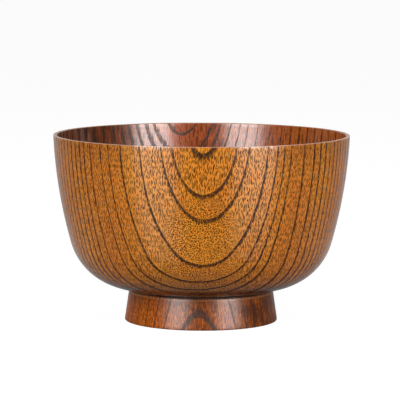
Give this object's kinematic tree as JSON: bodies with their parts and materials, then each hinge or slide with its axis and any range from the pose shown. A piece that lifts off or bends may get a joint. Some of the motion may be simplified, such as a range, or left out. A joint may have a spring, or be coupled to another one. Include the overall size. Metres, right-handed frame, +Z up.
{
  "type": "soup bowl",
  "caption": "Round turned wooden soup bowl with a thin lip, a deep open hollow and a flared foot ring, finished in clear wiped lacquer; holds soup or rice.",
  "frame": {"origin": "on the bowl's axis, in the plane that the foot ring stands on", "axes": "+Z up along the bowl's axis, out of its mouth; -Y towards the viewer of the picture, with the arched figure of the wood in front"},
  "size_m": [0.115, 0.115, 0.0724],
  "materials": {
    "bowl_wood": "ring-porous hardwood under clear amber lacquer, satin gloss",
    "foot_wood": "ring-porous hardwood under clear red-brown lacquer, satin gloss"
  },
  "bodies": {
    "root": {"bowl_body": "bowl_wood", "foot_ring": "foot_wood"}
  },
  "joints": []
}
